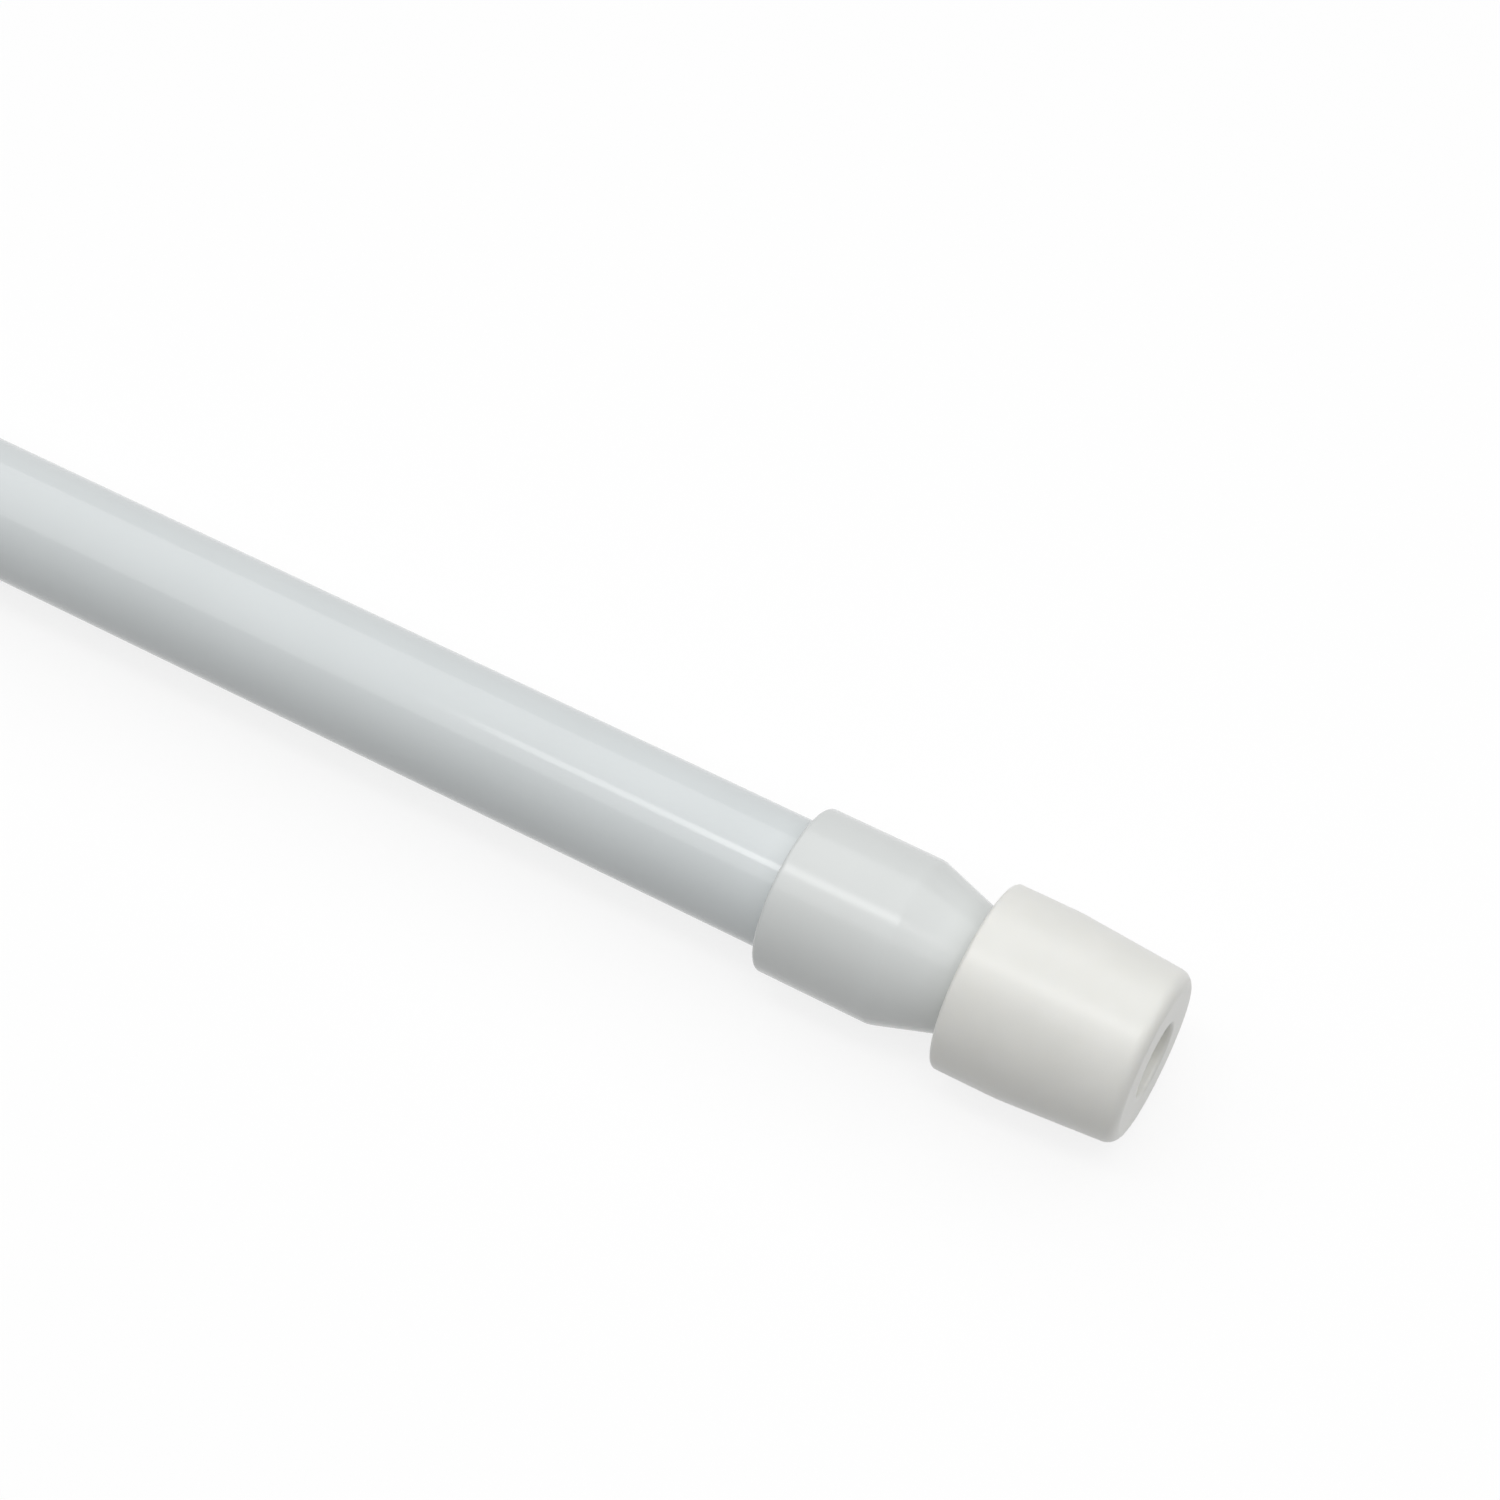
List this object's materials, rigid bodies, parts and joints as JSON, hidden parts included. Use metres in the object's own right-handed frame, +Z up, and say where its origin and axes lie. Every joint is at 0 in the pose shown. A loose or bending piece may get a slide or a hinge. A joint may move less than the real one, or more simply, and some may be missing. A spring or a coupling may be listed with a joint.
{
  "type": "spring tension rod",
  "caption": "Telescoping tension rod of painted steel tube with a moulded end collar, soft wall tips, an inner spring and a twist lock that sets its length.",
  "frame": {"origin": "centre of the wall face of the outer end's tip", "axes": "+X along the rod from the outer end's wall face to the inner end, +Z up"},
  "size_m": [0.4572, 0.016, 0.0158],
  "materials": {
    "tube_paint": "gloss white paint over steel tube",
    "adapter_plastic": "satin white moulded plastic",
    "tip_rubber": "matte off-white moulded rubber",
    "lock_plastic": "natural acetal as moulded",
    "spindle_plastic": "dark glass-filled nylon as moulded",
    "spring_steel": "drawn steel wire and stamped steel rings"
  },
  "bodies": {
    "outer": {"outer_tube": "tube_paint", "end_adapter": "adapter_plastic", "outer_tip": "tip_rubber"},
    "sleeve": {"lock_sleeve": "lock_plastic"},
    "spindle": {"lock_spindle": "spindle_plastic", "stop_ring": "spring_steel", "retaining_ring": "spring_steel", "tension_spring": "spring_steel"},
    "expander": {"expander_cone": "lock_plastic"},
    "inner": {"inner_tube": "tube_paint", "tube_end_bush": "lock_plastic", "inner_tip": "tip_rubber"}
  },
  "joints": [
    {"name": "length_slide", "type": "slide", "parent": "outer", "child": "sleeve", "axis": [1, 0, 0], "range_m": [0, 0.254]},
    {"name": "twist_lock", "type": "hinge", "parent": "sleeve", "child": "spindle", "pos_m": [0.047, 0, 0], "axis": [-1, 0, 0], "range_deg": [0, 540]},
    {"name": "cone_draw", "type": "slide", "parent": "sleeve", "child": "expander", "axis": [1, 0, 0], "range_m": [-0.00001, 0.00155]},
    {"name": "spring_travel", "type": "slide", "parent": "spindle", "child": "inner", "axis": [-1, 0, 0], "range_m": [0, 0.02], "stiffness_N_per_m": 2940, "springref_m": -0.004, "deforming": ["tension_spring"]}
  ],
  "couplings": [
    {"joint": "cone_draw", "follows": "twist_lock", "m_per_rad": 0.00015915}
  ]
}
